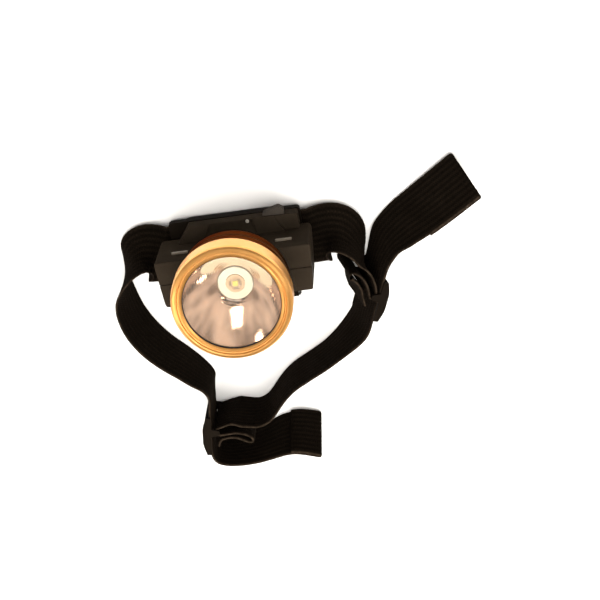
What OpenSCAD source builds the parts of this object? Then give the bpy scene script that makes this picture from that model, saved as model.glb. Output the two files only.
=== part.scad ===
// Head torch that lies on its back: round metal head, battery case,
// tilting bracket with forehead pad, and an elastic headband with two sliders.
// Millimetres. +Z points up, along the light's beam. +Y is the wearer's "up".

/* [Case] */
// Width of the battery case, across the forehead
case_w = 78.4; // [78:0.2:84]
// Height of the battery case
case_h = 25; // [25:0.5:28]
// Depth of the battery case, back to front
case_d = 31; // [31:0.5:34]
// Thickness of the case shells
wall = 2; // [1.6:0.1:2]

/* [Head] */
// Outer diameter of the gold bezel ring
bezel_d = 59; // [58.5:0.1:60]
// Outer diameter of the barrel behind the bezel
barrel_d = 55; // [54.6:0.1:55]
// Length of the head, from the case front to the bezel lip
head_len = 30; // [30:0.5:34]
// Diameter of the glass that shows inside the bezel
window_d = 48; // [46:0.5:49]

/* [Bracket] */
// Width of the bracket plate, wings included
bracket_w = 68; // [66:1:72]
// Thickness of the foam forehead pad
pad_t = 3; // [2.5:0.1:4]
// Diameter of the hinge pin
pin_d = 3; // [2.6:0.1:3.2]

/* [Headband] */
// Width of the elastic webbing
strap_w = 30; // [29:0.5:30]
// Thickness of the elastic webbing
strap_t = 1.4; // [1.2:0.1:1.4]
// Length of a slider, along the webbing
slider_len = 22; // [20:0.5:23]

/* [Hidden] */
$fn = 64;

// Clearances
slip = 0.06;        // running clearance of a shaft in its bore
gap = 0.3;          // space between pieces that move past each other

// Heights of the stack behind the case
carrier_t = 1.6;
strap_z = pad_t + carrier_t + strap_t / 2 + 0.1;
plate_z = pad_t + carrier_t + strap_t + 0.2;
plate_t = 2.6;
case_z = plate_z + plate_t + 1.2;
front_z = case_z + case_d;
bezel_z = front_z + head_len;

// Case, seen along its length
case_top = 14;
case_foot = case_top - case_h;
seam_y = 2;
half_w = case_w / 2;
chamfer_y = 3.2;
chamfer_z = 1.6;
turret_top = 22.4;
turret_z = case_z + 8.8;
case_draft = 2;

// Hinge between the bracket arms and the case
arm_r = 3.4;
hinge_y = case_foot - arm_r - 0.8;
hinge_z = case_z + 17;
arm_x = 25.5;
arm_t = 3;
lug_t = 4;
pin_r = pin_d / 2;

// Bracket plate and pad
strap_y = 4.5;
pad_w = bracket_w - 6;
pad_low = -16;
pad_high = 21.8;
channel_low = strap_y - strap_w / 2 - 0.3;
channel_high = strap_y + strap_w / 2 + 0.3;
carrier_screw_r = 1.1;
carrier_screws = [[-22, -13.8], [22, -13.8], [-8, -13.8], [8, -13.8]];

// Screws that close the case
case_screw_r = 1.1;
case_screw_x = half_w - wall - 2.6;
case_screws = [
    [-case_screw_x, case_z + 4.4], [case_screw_x, case_z + 4.4],
    [-case_screw_x, case_z + 26], [case_screw_x, case_z + 26]
];

// Switch, charge light and charge socket
switch_low = 15.6;
switch_high = 26.4;
switch_z = case_z + 1.4;
switch_depth = 4.6;
light_x = 7.6;
socket_x = 29.2;
socket_z = case_z + 25.4;
socket_bore_r = 1.75;

// Battery cell, lying along the case
cell_r = 9.2;
cell_len = 65;
cell_x = 1.2;
cell_y = 1.5;
cell_z = case_z + wall + cell_r + 0.3;

// Head, all round the beam axis
barrel_r = barrel_d / 2;
bezel_r = bezel_d / 2;
window_r = window_d / 2;
neck_r = 8;
wire_hole_r = 5;
floor_t = 2;
seat_z = bezel_z - 5;          // rim of the barrel
flange_t = 0.8;                // reflector flange
glass_t = 1.8;
glass_z = seat_z + flange_t;
gasket_z = glass_z + glass_t;
board_z = front_z + floor_t;
board_t = 1.6;
led_z = board_z + board_t;
mirror_hole_r = 8.75;
mirror_rim_r = window_r + 0.5;
mirror_t = 0.8;

// Sliders: place of the middle, heading in degrees, outward lean
slider_w = strap_w + 2.8;
slider_left_at = [-29.4, -90, 17.5];
slider_left_turn = [263, 0];
slider_right_at = [63.8, -23.2, 17.8];
slider_right_turn = [68, 18];
bar_r = 1;
bar_u = 2;
wrap_r = bar_r + 0.1 + strap_t / 2;
bar_y = strap_t + gap + wrap_r;

// Routes of the webbing: x, y, height of its middle, and its outward lean.
// A lean of 0 stands on edge and -90 lies flat.
function along(at, turn, u) = [at.x + u * cos(turn[0]), at.y + u * sin(turn[0]), at.z, turn[1]];
left_route = [
    [-36.3, strap_y, strap_z, -90],
    [-37.6, strap_y, strap_z, -90],
    [-38.9, strap_y, strap_z, -90],
    [-43, 6.1, 7.2, -76],
    [-48.5, 8.6, 10.2, -54],
    [-54.5, 7.2, 13.6, -28],
    [-60, -1.4, 15, -6],
    [-62.6, -12, 15.2, 10],
    [-60.5, -25, 15.2, 14],
    [-55, -36.5, 15.2, 14],
    [-47.5, -46, 15.2, 12],
    [-39.5, -53.5, 15.4, 10],
    [-32.5, -60.5, 16, 7],
    along(slider_left_at, slider_left_turn, -23),
    along(slider_left_at, slider_left_turn, -16),
    along(slider_left_at, slider_left_turn, -7),
    along(slider_left_at, slider_left_turn, 2),
    along(slider_left_at, slider_left_turn, 11.4)
];
left_tail_route = [
    along(slider_left_at, slider_left_turn, 11.7),
    along(slider_left_at, slider_left_turn, 13.4),
    [-29.8, -105.9, 17.2, 1],
    [-26.7, -107.8, 16.9, 3],
    [-22.4, -108.8, 16.5, 5],
    [-16, -109, 15.9, 8],
    [-8, -108.2, 15.4, 11],
    [0, -106, 15.3, 15],
    [7, -103.6, 15.5, 19],
    [13, -102.9, 15.8, 21],
    [19, -104.2, 15.5, 22],
    [25.4, -106.8, 14.6, 22]
];
rear_route = [
    [-15, -85.4, 16.8, 5],
    [-9.6, -86.9, 16.6, 4],
    [-3.8, -88, 16, 4],
    [1.6, -86.2, 15.5, 5],
    [6, -81.6, 15.3, 5],
    [10.8, -75.8, 15.3, 5],
    [17.5, -69.8, 15.3, 5],
    [27, -64.5, 15.3, 5],
    [36, -59.4, 15.4, 6],
    [44, -53.4, 15.8, 9],
    [51.4, -46.8, 16.6, 14],
    along(slider_right_at, slider_right_turn, -18.6),
    along(slider_right_at, slider_right_turn, -12.6),
    along(slider_right_at, slider_right_turn, -4),
    along(slider_right_at, slider_right_turn, 5),
    along(slider_right_at, slider_right_turn, 14.6)
];
right_tail_route = [
    along(slider_right_at, slider_right_turn, 14.9),
    along(slider_right_at, slider_right_turn, 17.8),
    [73, -2.8, 16.9, 21],
    [76, 1.2, 15.6, 27],
    [80.2, 4.6, 14.1, 32],
    [86.6, 8.8, 12.9, 37],
    [94, 13.2, 12.9, 40],
    [102, 18.2, 13.1, 42],
    [110, 23.4, 13.1, 43],
    [118, 28.6, 13.1, 44]
];
right_route = [
    [62.2, -7.4, 17.2, -2],
    [61, -2.4, 16.6, -9],
    [57.6, 2.9, 14.8, -23],
    [52.6, 6.4, 11.8, -45],
    [47, 6.6, 8.7, -67],
    [42.4, 5.4, 6.6, -81],
    [38.9, strap_y, strap_z, -90],
    [37.6, strap_y, strap_z, -90],
    [36.3, strap_y, strap_z, -90]
];
route_steps = 5;

// Colours
black = [0.08, 0.075, 0.07];
soft_black = [0.13, 0.12, 0.11];
webbing = [0.12, 0.09, 0.07];
gold = [0.86, 0.6, 0.26];
steel = [0.7, 0.7, 0.72];

function unit(v) = v / norm(v);

// A corner rounded by an arc, or left sharp where its radius is 0
function corner(a, b, c, r, n) = r == 0 ? [b] :
    let (
        u = unit(a - b),
        v = unit(c - b),
        half = acos(u * v) / 2,
        middle = b + unit(u + v) * r / sin(half),
        first = b + u * r / tan(half) - middle,
        last = b + v * r / tan(half) - middle,
        from = atan2(first.y, first.x),
        turn = (atan2(last.y, last.x) - from + 540) % 360 - 180
    )
    [for (i = [0:n]) middle + r * [cos(from + turn * i / n), sin(from + turn * i / n)]];

// An outline from corners given as x, y and corner radius
function rounded(p, n = 5) = [
    for (i = [0:len(p) - 1])
        let (a = p[(i + len(p) - 1) % len(p)], b = p[i], c = p[(i + 1) % len(p)])
        each corner([a.x, a.y], [b.x, b.y], [c.x, c.y], b.z, n)
];

// Smooth curve through the points of a route
function blend(a, b, c, d, t) =
    ((2 * b) + (c - a) * t + (2 * a - 5 * b + 4 * c - d) * t * t + (3 * b - a - 3 * c + d) * t * t * t) / 2;
function smooth(p, steps = route_steps) = [
    for (i = [0:len(p) - 2], k = [0:steps - 1])
        blend(p[max(i - 1, 0)], p[i], p[i + 1], p[min(i + 2, len(p) - 1)], k / steps),
    p[len(p) - 1]
];

// Corners of the webbing's section at each point of a smooth route
function heading(p, i) =
    let (a = p[max(i - 1, 0)], b = p[min(i + 1, len(p) - 1)])
    unit([b[0] - a[0], b[1] - a[1], b[2] - a[2]]);
function section(p, i, thick, width, off) =
    let (
        t = heading(p, i),
        out = unit(cross(t, [0, 0, 1])),
        rise = cross(out, t),
        across = cos(p[i][3]) * rise + sin(p[i][3]) * out,
        through = cross(across, t),
        at = [p[i][0], p[i][1], p[i][2]] + through * off
    )
    [
        for (s = [[-1, -1], [1, -1], [1, 1], [-1, 1]])
            at + across * width / 2 * s.x + through * thick / 2 * s.y
    ];

module band(p, thick = strap_t, width = strap_w, off = 0) {
    count = len(p);
    points = [for (i = [0:count - 1]) each section(p, i, thick, width, off)];
    sides = [
        for (i = [0:count - 2], k = [0:3])
            let (a = 4 * i + k, b = 4 * i + (k + 1) % 4)
            each [[a, b, b + 4], [a, b + 4, a + 4]]
    ];
    polyhedron(points, concat([[3, 2, 1, 0]], sides, [[for (k = [0:3]) 4 * (count - 1) + k]]));
}

// A thin strip that follows points in a plane
function strip(p, t) =
    let (
        n = len(p) - 1,
        side = [for (i = [0:n]) let (d = unit(p[min(i + 1, n)] - p[max(i - 1, 0)])) [-d.y, d.x] * t / 2]
    )
    concat([for (i = [0:n]) p[i] + side[i]], [for (i = [n:-1:0]) p[i] - side[i]]);

// Turns a drawing of depth against height into a bar along X
module along_x(from, to) {
    translate([from, 0, 0])
        rotate([90, 0, 90])
            linear_extrude(to - from)
                children();
}

// Turns a drawing of width against height into a bar along Y
module along_y(from, to) {
    translate([0, to, 0])
        rotate([90, 0, 0])
            linear_extrude(to - from)
                children();
}

module rod_x(from, to, r) {
    translate([from, 0, 0])
        rotate([0, 90, 0])
            cylinder(r = r, h = to - from);
}

module rod_y(from, to, r) {
    translate([0, from, 0])
        rotate([-90, 0, 0])
            cylinder(r = r, h = to - from);
}

module at_slider(at, turn) {
    translate(at)
        rotate([0, 0, turn[0]])
            rotate([turn[1], 0, 0])
                children();
}

// ---- Pad, carrier and bracket ----

module foam_pad() {
    w = pad_w / 2;
    color(soft_black)
        linear_extrude(pad_t)
            polygon(rounded([[-w, pad_low, 9], [w, pad_low, 9], [w, pad_high, 9], [-w, pad_high, 9]]));
}

module plate_outline(grow = 0) {
    w = bracket_w / 2 + grow;
    top = pad_high + 0.4 + grow;
    foot = hinge_y - arm_r + 0.2 - grow;
    polygon(rounded([
        [-w, channel_low - 2, 3], [-29.5, foot, 3], [29.5, foot, 3], [w, channel_low - 2, 3],
        [w, top, 1.5], [-w, top, 1.5]
    ]));
}

module pad_carrier() {
    color(black)
        difference() {
            translate([0, 0, pad_t])
                linear_extrude(carrier_t)
                    plate_outline(-0.5);
            for (p = carrier_screws)
                translate([p.x, p.y, pad_t - 1]) {
                    cylinder(r = carrier_screw_r + slip, h = carrier_t + 2);
                    cylinder(r = 2.1, h = 1.9);
                }
        }
}

module carrier_screw(i) {
    color(steel)
        translate([carrier_screws[i].x, carrier_screws[i].y, pad_t])
            difference() {
                union() {
                    cylinder(r = 2, h = 0.9);
                    cylinder(r = carrier_screw_r, h = 5.2);
                }
                for (a = [0, 90])
                    rotate([0, 0, a])
                        translate([-1.2, -0.25, -0.1])
                            cube([2.4, 0.5, 0.6]);
            }
}

module bracket() {
    color(black)
        difference() {
            union() {
                difference() {
                    translate([0, 0, pad_t + carrier_t])
                        linear_extrude(plate_z + plate_t - pad_t - carrier_t)
                            plate_outline();
                    // channel that the webbing runs through
                    translate([-bracket_w / 2 - 1, channel_low, pad_t + carrier_t - 1])
                        cube([bracket_w + 2, channel_high - channel_low, strap_t + 1.2]);
                }
                for (side = [-1, 1])
                    arm(side);
            }
            for (p = carrier_screws)
                translate([p.x, p.y, pad_t + carrier_t - 1])
                    cylinder(r = carrier_screw_r, h = 5);
        }
}

module arm(side) {
    from = side > 0 ? arm_x : -arm_x - arm_t;
    along_x(from, from + arm_t)
        difference() {
            polygon(rounded([
                [hinge_y - arm_r, plate_z, 0], [hinge_y + arm_r, plate_z, 0],
                [hinge_y + arm_r, hinge_z + arm_r, arm_r - 0.01],
                [hinge_y - arm_r, hinge_z + arm_r, arm_r - 0.01]
            ], 12));
            translate([hinge_y, hinge_z])
                circle(pin_r);
        }
}

module hinge_pin() {
    color(steel)
        translate([0, hinge_y, hinge_z])
            difference() {
                union() {
                    rod_x(-arm_x - arm_t - 1.8, arm_x + arm_t + 0.1, pin_r);
                    rod_x(arm_x + arm_t, arm_x + arm_t + 1, 2.9);
                    rod_x(arm_x + arm_t + 0.9, arm_x + arm_t + 1.5, 2.3);
                }
                // groove for the clip
                rotate([0, 90, 0])
                    translate([0, 0, -arm_x - arm_t - 1])
                        difference() {
                            cylinder(r = pin_r + 1, h = 0.7);
                            translate([0, 0, -1])
                                cylinder(r = pin_r - 0.4, h = 3);
                        }
            }
}

module hinge_clip() {
    color(steel)
        translate([-arm_x - arm_t - 0.96, hinge_y, hinge_z])
            rotate([0, 90, 0])
                linear_extrude(0.6)
                    difference() {
                        circle(3);
                        circle(pin_r - 0.36);
                        translate([-0.8, -4])
                            square([1.6, 4]);
                    }
}

// ---- Headband ----

module strap_plate_run() {
    color(webbing)
        translate([-36, strap_y - strap_w / 2, strap_z - strap_t / 2])
            cube([72, strap_w, strap_t]);
}

module strap_left_run() {
    color(webbing)
        band(smooth(left_route));
}

module strap_right_run() {
    color(webbing)
        band(smooth(right_route));
}

module strap_rear_run() {
    color(webbing)
        band(smooth(rear_route));
}

module tail_left() {
    color(webbing)
        band(smooth(left_tail_route));
}

module tail_right() {
    color(webbing)
        band(smooth(right_tail_route));
}

// The end of a tail again, as the layer that is folded back and sewn
function last_of(p, n) = [for (i = [len(p) - n:len(p) - 1]) p[i]];

module hem_left() {
    color(webbing)
        band(last_of(smooth(left_tail_route), 14), strap_t, strap_w, strap_t + 0.2);
}

module hem_right() {
    color(webbing)
        band(last_of(smooth(right_tail_route), 16), strap_t, strap_w, -strap_t - 0.3);
}

// Slider: two outer bars over the webbing, and a set-back bar under it.
// Bowed side plates join the bars just above and below the webbing's edges.
// bar_at is where the set-back bar lies along the webbing.
module slider(bar_at) {
    half = slider_len / 2;
    outer = strap_t / 2 + gap;
    bar = 1.6;
    side = 1.1;
    bow = 1.6;
    over = 0.4;
    color(black) {
        for (end = [-1, 1])
            linear_extrude(slider_w - 1, center = true)
                translate([end * (half - 1.6), -outer - bar / 2])
                    polygon(rounded([
                        [-1.6, -bar / 2, 0.7], [1.6, -bar / 2, 0.7], [1.6, bar / 2, 0.6], [-1.6, bar / 2, 0.6]
                    ]));
        translate([bar_at, bar_y, 0])
            cylinder(r = bar_r, h = slider_w - 1, center = true);
        for (end = [-1, 1])
            translate([0, 0, end * (slider_w - side) / 2])
                linear_extrude(side, center = true)
                    polygon(rounded([
                        [-half, -outer - bar + 0.4, 0.7], [-half * 0.45, -outer - bar - bow, 14],
                        [half * 0.45, -outer - bar - bow, 14], [half, -outer - bar + 0.4, 0.7],
                        [half, over, 0.4], [bar_at + 2.2, over, 1],
                        [bar_at + 1.3, bar_y + 1.3, 1.2], [bar_at - 1.3, bar_y + 1.3, 1.2],
                        [bar_at - 2.2, over, 1], [-half, over, 0.4]
                    ]));
    }
}

module slider_left() {
    at_slider(slider_left_at, slider_left_turn)
        slider(-bar_u);
}

module slider_right() {
    at_slider(slider_right_at, slider_right_turn)
        slider(bar_u);
}

// A point beside a slider's middle bar, and the lean that keeps the webbing parallel to the bar
function beside(at, turn, u, v, lean, drop = 0) = [
    at.x + u * cos(turn[0]) - v * cos(turn[1]) * sin(turn[0]),
    at.y + u * sin(turn[0]) + v * cos(turn[1]) * cos(turn[0]),
    at.z + v * sin(turn[1]) - drop,
    lean
];
function wrap(at, turn, bar_at, from, to) = [
    for (i = [0:8])
        let (a = from + (to - from) * i / 8, lean = turn[1] * sin(from > to ? a : a + 180))
        beside(at, turn, bar_at + wrap_r * cos(a), bar_y + wrap_r * sin(a), lean)
];

// Webbing end sewn round the middle bar. Its tip points away from the bar, then turns back on itself.
module sewn_end_left() {
    at = slider_left_at;
    turn = slider_left_turn;
    leg = [
        beside(at, turn, -6.2, 12.4, 0, 0.6),
        beside(at, turn, -5.9, 9, 0, 0.4),
        beside(at, turn, -4.8, 6, 0)
    ];
    fold = [
        beside(at, turn, 0.1, 5.4, 0),
        beside(at, turn, -0.5, 8.6, 0),
        beside(at, turn, -0.9, 13, 0, 0.3),
        beside(at, turn, 0, 18, 0, 0.6),
        beside(at, turn, 2.2, 21.8, 0, 0.6),
        beside(at, turn, 4.4, 22.2, 0, 0.6),
        beside(at, turn, 4.4, 19.4, 0, 0.6),
        beside(at, turn, 2.9, 16, 0, 0.6),
        beside(at, turn, 1.7, 12.4, 0, 0.3),
        beside(at, turn, 1.8, 8.4, 0),
        beside(at, turn, 3.2, 5.2, 0),
        beside(at, turn, 6.6, 4, 0)
    ];
    color(webbing)
        band(concat(smooth(leg, 4), wrap(at, turn, -bar_u, 165, 345), smooth(fold, 4)));
}

module sewn_end_right() {
    at = slider_right_at;
    turn = slider_right_turn;
    lean = turn[1];
    leg = [
        beside(at, turn, 10.8, 5.8, -lean * 0.7, 1.4),
        beside(at, turn, 8.4, 4.3, -lean, 0.8),
        beside(at, turn, 5.6, 2.6, -lean, 0.3)
    ];
    fold = [
        beside(at, turn, 4, 6.2, lean),
        beside(at, turn, 6.8, 7.8, lean, 0.4),
        beside(at, turn, 9.2, 10.2, lean, 1.2),
        beside(at, turn, 10.6, 13, lean, 2.2),
        beside(at, turn, 10.4, 15, lean * 0.6, 2.8),
        beside(at, turn, 8.8, 15.8, 0, 3),
        beside(at, turn, 7.2, 14.2, -lean * 0.6, 2.8),
        beside(at, turn, 5.8, 12, -lean, 2),
        beside(at, turn, 3.2, 9.8, -lean, 1.4),
        beside(at, turn, -0.6, 8, -lean, 1),
        beside(at, turn, -4.8, 5.4, -lean, 0.6)
    ];
    color(webbing)
        band(concat(smooth(leg, 4), wrap(at, turn, bar_u, 290, 80), smooth(fold, 4)));
}

// ---- Battery case ----

// The whole block, before it is hollowed and split
module case_block() {
    intersection() {
        along_x(-half_w - 2, half_w + 2)
            polygon(rounded([
                [case_top, case_z, 1.5], [case_top, front_z, 0.8],
                [case_foot + chamfer_y, front_z, 0.4], [case_foot, front_z - chamfer_z, 0.8],
                [case_foot, case_z, 1.5]
            ]));
        along_y(case_foot - 1, case_top + 1)
            polygon(rounded([
                [-half_w, case_z, 5], [half_w, case_z, 5],
                [half_w, front_z, 1.2], [-half_w, front_z, 1.2]
            ]));
        // narrower towards the foot
        translate([0, 0, case_z - 1])
            linear_extrude(case_d + 2)
                polygon(rounded([
                    [-half_w + case_draft, case_foot, 1.6], [half_w - case_draft, case_foot, 1.6],
                    [half_w, case_top, 1.6], [-half_w, case_top, 1.6]
                ]));
    }
}

module case_hollow() {
    w = half_w - wall;
    translate([0, 0, case_z + wall])
        linear_extrude(case_d - 2 * wall)
            polygon(rounded([
                [-w + case_draft, case_foot + wall, 1], [w - case_draft, case_foot + wall, 1],
                [w, case_top - wall, 1], [-w, case_top - wall, 1]
            ]));
}

// Faceted housing on the upper side, with a lower block behind its right end for the switch
module turret() {
    low = case_top - 1;
    difference() {
        union() {
            difference() {
                intersection() {
                    translate([0, 0, case_z])
                        linear_extrude(12)
                            polygon([[-29.6, low], [26.4, low], [20.8, turret_top], [-22.8, turret_top]]);
                    along_x(-40, 40)
                        polygon(rounded([
                            [low, case_z, 0], [turret_top, case_z, 1], [turret_top, turret_z - 1.6, 0.6],
                            [case_top, turret_z + 0.6, 0], [low, turret_z + 0.6, 0]
                        ]));
                }
                // sunken middle facet, deepest at the top
                intersection() {
                    translate([0, 0, case_z])
                        linear_extrude(20)
                            polygon([
                                [-15.5, case_top + 0.4], [11.8, case_top + 0.4],
                                [10.6, turret_top - 0.5], [-12, turret_top - 0.5]
                            ]);
                    along_x(-40, 40)
                        polygon([
                            [case_top + 0.4, turret_z + 0.5], [turret_top - 0.5, turret_z - 4],
                            [turret_top - 0.5, turret_z + 4], [case_top + 0.4, turret_z + 4]
                        ]);
                }
            }
            translate([0, 0, case_z])
                linear_extrude(4.8 + switch_depth - 2.2)
                    polygon(rounded([
                        [10, low, 0], [33.4, low, 0],
                        [33, turret_top - 0.2, 1], [10, turret_top - 0.2, 0]
                    ]));
        }
        switch_well(gap);
        translate([light_x, turret_top - 1.2, turret_z - 6])
            cylinder(r = 1, h = 9);
    }
}

// Space of the push button, grown by a clearance
module switch_well(clear) {
    translate([0, 0, switch_z - clear])
        linear_extrude(switch_depth + 2 * clear)
            polygon([
                [switch_low - clear, case_top - wall - 1], [switch_high + clear, case_top - wall - 1],
                [switch_high + clear, turret_top + 6], [switch_low - clear, turret_top + 6]
            ]);
}

module screw_tower(i, from, to) {
    translate([case_screws[i][0], 0, case_screws[i][1]])
        rod_y(from, to, 2.3);
}

module screw_hole(i) {
    translate([case_screws[i][0], 0, case_screws[i][1]]) {
        rod_y(case_foot - 1, case_top - wall - 1.5, case_screw_r + 0.02);
        rod_y(case_foot - 1, case_foot + 1.4, 2.15);
    }
}

module neck_hole() {
    translate([0, 0, front_z - wall - 1])
        cylinder(r = neck_r + slip, h = wall + 2);
}

module case_upper() {
    color(black)
        difference() {
            union() {
                intersection() {
                    difference() {
                        case_block();
                        case_hollow();
                    }
                    translate([-60, seam_y, 0])
                        cube([120, 40, 80]);
                }
                turret();
                for (i = [0:3])
                    screw_tower(i, seam_y, case_top - 1);
            }
            for (i = [0:3])
                screw_hole(i);
            neck_hole();
            switch_well(gap);
            // shadow gap along the seam
            translate([-60, seam_y - 1, front_z - 0.6])
                cube([120, 1.3, 2]);
            // seats of the two grip bars in the upper face
            for (side = [-1, 1])
                grip_bar(side, 0.01, case_top - 0.8);
        }
}

module case_lower() {
    color(black)
        difference() {
            union() {
                intersection() {
                    difference() {
                        case_block();
                        case_hollow();
                    }
                    translate([-60, seam_y - 40, 0])
                        cube([120, 40, 80]);
                }
                for (i = [0:3])
                    screw_tower(i, case_foot + 1, seam_y);
                for (side = [-1, 1])
                    lug(side);
            }
            for (i = [0:3])
                screw_hole(i);
            neck_hole();
            translate([-60, seam_y - 0.3, front_z - 0.6])
                cube([120, 1.3, 2]);
            translate([socket_x, 0, socket_z])
                rod_y(case_foot - 1, case_foot + wall + 1, 3.2);
            translate([0, hinge_y, hinge_z])
                rod_x(-arm_x, arm_x, pin_r + slip);
        }
}

module lug(side) {
    from = side > 0 ? arm_x - gap - lug_t : -arm_x + gap;
    r = arm_r - 0.2;
    along_x(from, from + lug_t)
        polygon(rounded([
            [case_foot + 0.5, hinge_z - 7, 0], [case_foot + 0.5, hinge_z + 7, 0],
            [case_foot, hinge_z + 7, 0], [hinge_y - r, hinge_z + r, r - 0.01],
            [hinge_y - r, hinge_z - r, r - 0.01], [case_foot, hinge_z - 7, 0]
        ], 10));
}

module case_screw(i) {
    color(steel)
        translate([case_screws[i][0], 0, case_screws[i][1]])
            difference() {
                union() {
                    rod_y(case_foot + 0.1, case_foot + 1.4, 2.05);
                    rod_y(case_foot + 1, case_top - wall - 3, case_screw_r);
                }
                for (a = [0, 90])
                    rotate([0, a, 0])
                        translate([-1.3, case_foot - 0.5, -0.25])
                            cube([2.6, 1.2, 0.5]);
            }
}

// Short raised bar let into the upper face
module grip_bar(side, clear, from) {
    translate([side * 26.2 - 0.6, 0, case_z + 21.4])
        along_y(from, case_top + 0.9)
            polygon(rounded([
                [-4.2 - clear, -0.9 - clear, 0.8], [4.2 + clear, -0.9 - clear, 0.8],
                [4.2 + clear, 0.9 + clear, 0.8], [-4.2 - clear, 0.9 + clear, 0.8]
            ]));
}

module grip_bar_left() {
    color([0.3, 0.29, 0.27])
        grip_bar(-1, 0, case_top - 0.8);
}

module grip_bar_right() {
    color([0.3, 0.29, 0.27])
        grip_bar(1, 0, case_top - 0.8);
}

// Rocker-shaped push button: a ramp on the left, flat on the right
module switch_button() {
    color([0.3, 0.29, 0.27])
        translate([0, 0, switch_z])
            linear_extrude(switch_depth)
                polygon(rounded([
                    [switch_low, turret_top - 4, 0.5], [switch_high, turret_top - 4, 0.5],
                    [switch_high, turret_top + 2.2, 1.2], [switch_high - 2.4, turret_top + 4, 1.6],
                    [switch_low + 4.4, turret_top + 3, 2.5], [switch_low, turret_top + 1.2, 0.6]
                ]));
}

module switch_body() {
    color([0.25, 0.25, 0.27])
        translate([(switch_low + switch_high) / 2 - 3.5, case_top - wall - 1, switch_z + 0.3])
            cube([7, 6, 4]);
}

module charge_light() {
    color([0.8, 0.78, 0.72])
        translate([light_x, turret_top - 1.2, turret_z - 5.8])
            cylinder(r = 0.95, h = 4.4);
}

module charge_socket() {
    color([0.2, 0.2, 0.2])
        translate([socket_x, 0, socket_z])
            difference() {
                rod_y(case_foot + 0.2, case_foot + 8.4, 3.15);
                rod_y(case_foot - 1, case_foot + 6.7, socket_bore_r);
            }
}

module circuit_board() {
    color([0.1, 0.35, 0.2])
        translate([-31, -8, case_z + 22.4])
            cube([54, 18, 1.2]);
}

module battery_cell() {
    color([0.2, 0.35, 0.55])
        translate([cell_x, cell_y, cell_z]) {
            rod_x(-cell_len / 2, cell_len / 2 - 1.2, cell_r);
            rod_x(cell_len / 2 - 1.3, cell_len / 2, 3);
        }
}

module battery_contact() {
    color(steel)
        translate([cell_x + cell_len / 2, cell_y - 4, cell_z - 4])
            cube([0.4, 8, 8]);
}

// Cone spring behind the flat end of the cell
module battery_spring() {
    turns = 3;
    rings = 14 * turns;
    start = -half_w + wall + case_draft + 0.6;
    end = cell_x - cell_len / 2 - 0.45;
    r_wire = 0.4;
    points = [
        for (i = [0:rings])
            let (a = 360 * turns * i / rings, r = 4 - 1.2 * i / rings, x = start + (end - start) * i / rings)
            for (k = [0:5])
                [
                    x + r_wire * sin(60 * k),
                    cell_y + (r + r_wire * cos(60 * k)) * cos(a),
                    cell_z + (r + r_wire * cos(60 * k)) * sin(a)
                ]
    ];
    faces = concat(
        [[5, 4, 3, 2, 1, 0]],
        [
            for (i = [0:rings - 1], k = [0:5])
                let (a = 6 * i + k, b = 6 * i + (k + 1) % 6)
                each [[a, b, b + 6], [a, b + 6, a + 6]]
        ],
        [[for (k = [0:5]) 6 * rings + k]]
    );
    color(steel)
        polyhedron(points, faces);
}

// ---- Head ----

module head_barrel() {
    r = barrel_r;
    color(gold)
        rotate_extrude()
            polygon([
                [wire_hole_r, front_z - 5], [neck_r, front_z - 5], [neck_r, front_z],
                [r - 3.5, front_z], [r - 2, front_z + 0.5], [r - 0.4, front_z + 2.4], [r, front_z + 3.6],
                [r, front_z + 8], [r - 0.4, front_z + 8.3], [r - 0.4, front_z + 8.9], [r, front_z + 9.2],
                [r, front_z + 16.6], [r - 0.9, front_z + 17], [r - 0.9, seat_z],
                [r - 1.9, seat_z], [r - 1.9, board_z], [wire_hole_r, board_z]
            ]);
}

module head_nut() {
    color(steel)
        translate([0, 0, front_z - wall - 2.9])
            difference() {
                cylinder(r = 9.6, h = 2.4, $fn = 6);
                translate([0, 0, -1])
                    cylinder(r = neck_r + 0.02, h = 5);
            }
}

module head_washer() {
    color(steel)
        translate([0, 0, front_z - wall - 0.5])
            difference() {
                cylinder(r = 8.9, h = 0.5);
                translate([0, 0, -1])
                    cylinder(r = neck_r + 0.02, h = 3);
            }
}

module bezel_ring() {
    r = bezel_r;
    seat_r = barrel_r - 0.9 + 0.05;
    w = window_r;
    color(gold)
        rotate_extrude()
            polygon([
                [seat_r, front_z + 17.4], [r - 1.2, front_z + 17.4], [r - 0.3, front_z + 17.9],
                [r, front_z + 19], [r, bezel_z - 2.4], [r - 0.4, bezel_z - 1.2], [r - 1.2, bezel_z - 0.4],
                [r - 2.2, bezel_z], [r - 2.9, bezel_z - 0.15], [r - 3.3, bezel_z - 0.75],
                [r - 3.8, bezel_z - 0.8], [r - 4.3, bezel_z - 0.5], [w + 0.5, bezel_z - 0.75],
                [w, bezel_z - 1.1], [w, gasket_z + 0.85], [w + 1, gasket_z + 0.75], [seat_r, gasket_z + 0.75]
            ]);
}

module lens() {
    color([0.85, 0.9, 0.92, 0.35])
        translate([0, 0, glass_z])
            cylinder(r = barrel_r - 1.1, h = glass_t);
}

module lens_gasket() {
    color(black)
        translate([0, 0, gasket_z])
            difference() {
                cylinder(r = barrel_r - 1.1, h = 0.7);
                translate([0, 0, -1])
                    cylinder(r = window_r - 0.4, h = 3);
            }
}

// Parabola through the lamp hole and the rim of the mirror
rise = (pow(mirror_rim_r, 2) - pow(mirror_hole_r, 2)) / (seat_z - led_z);
function mirror_z(r) = led_z + 0.1 + (pow(r, 2) - pow(mirror_hole_r, 2)) / rise;

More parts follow.
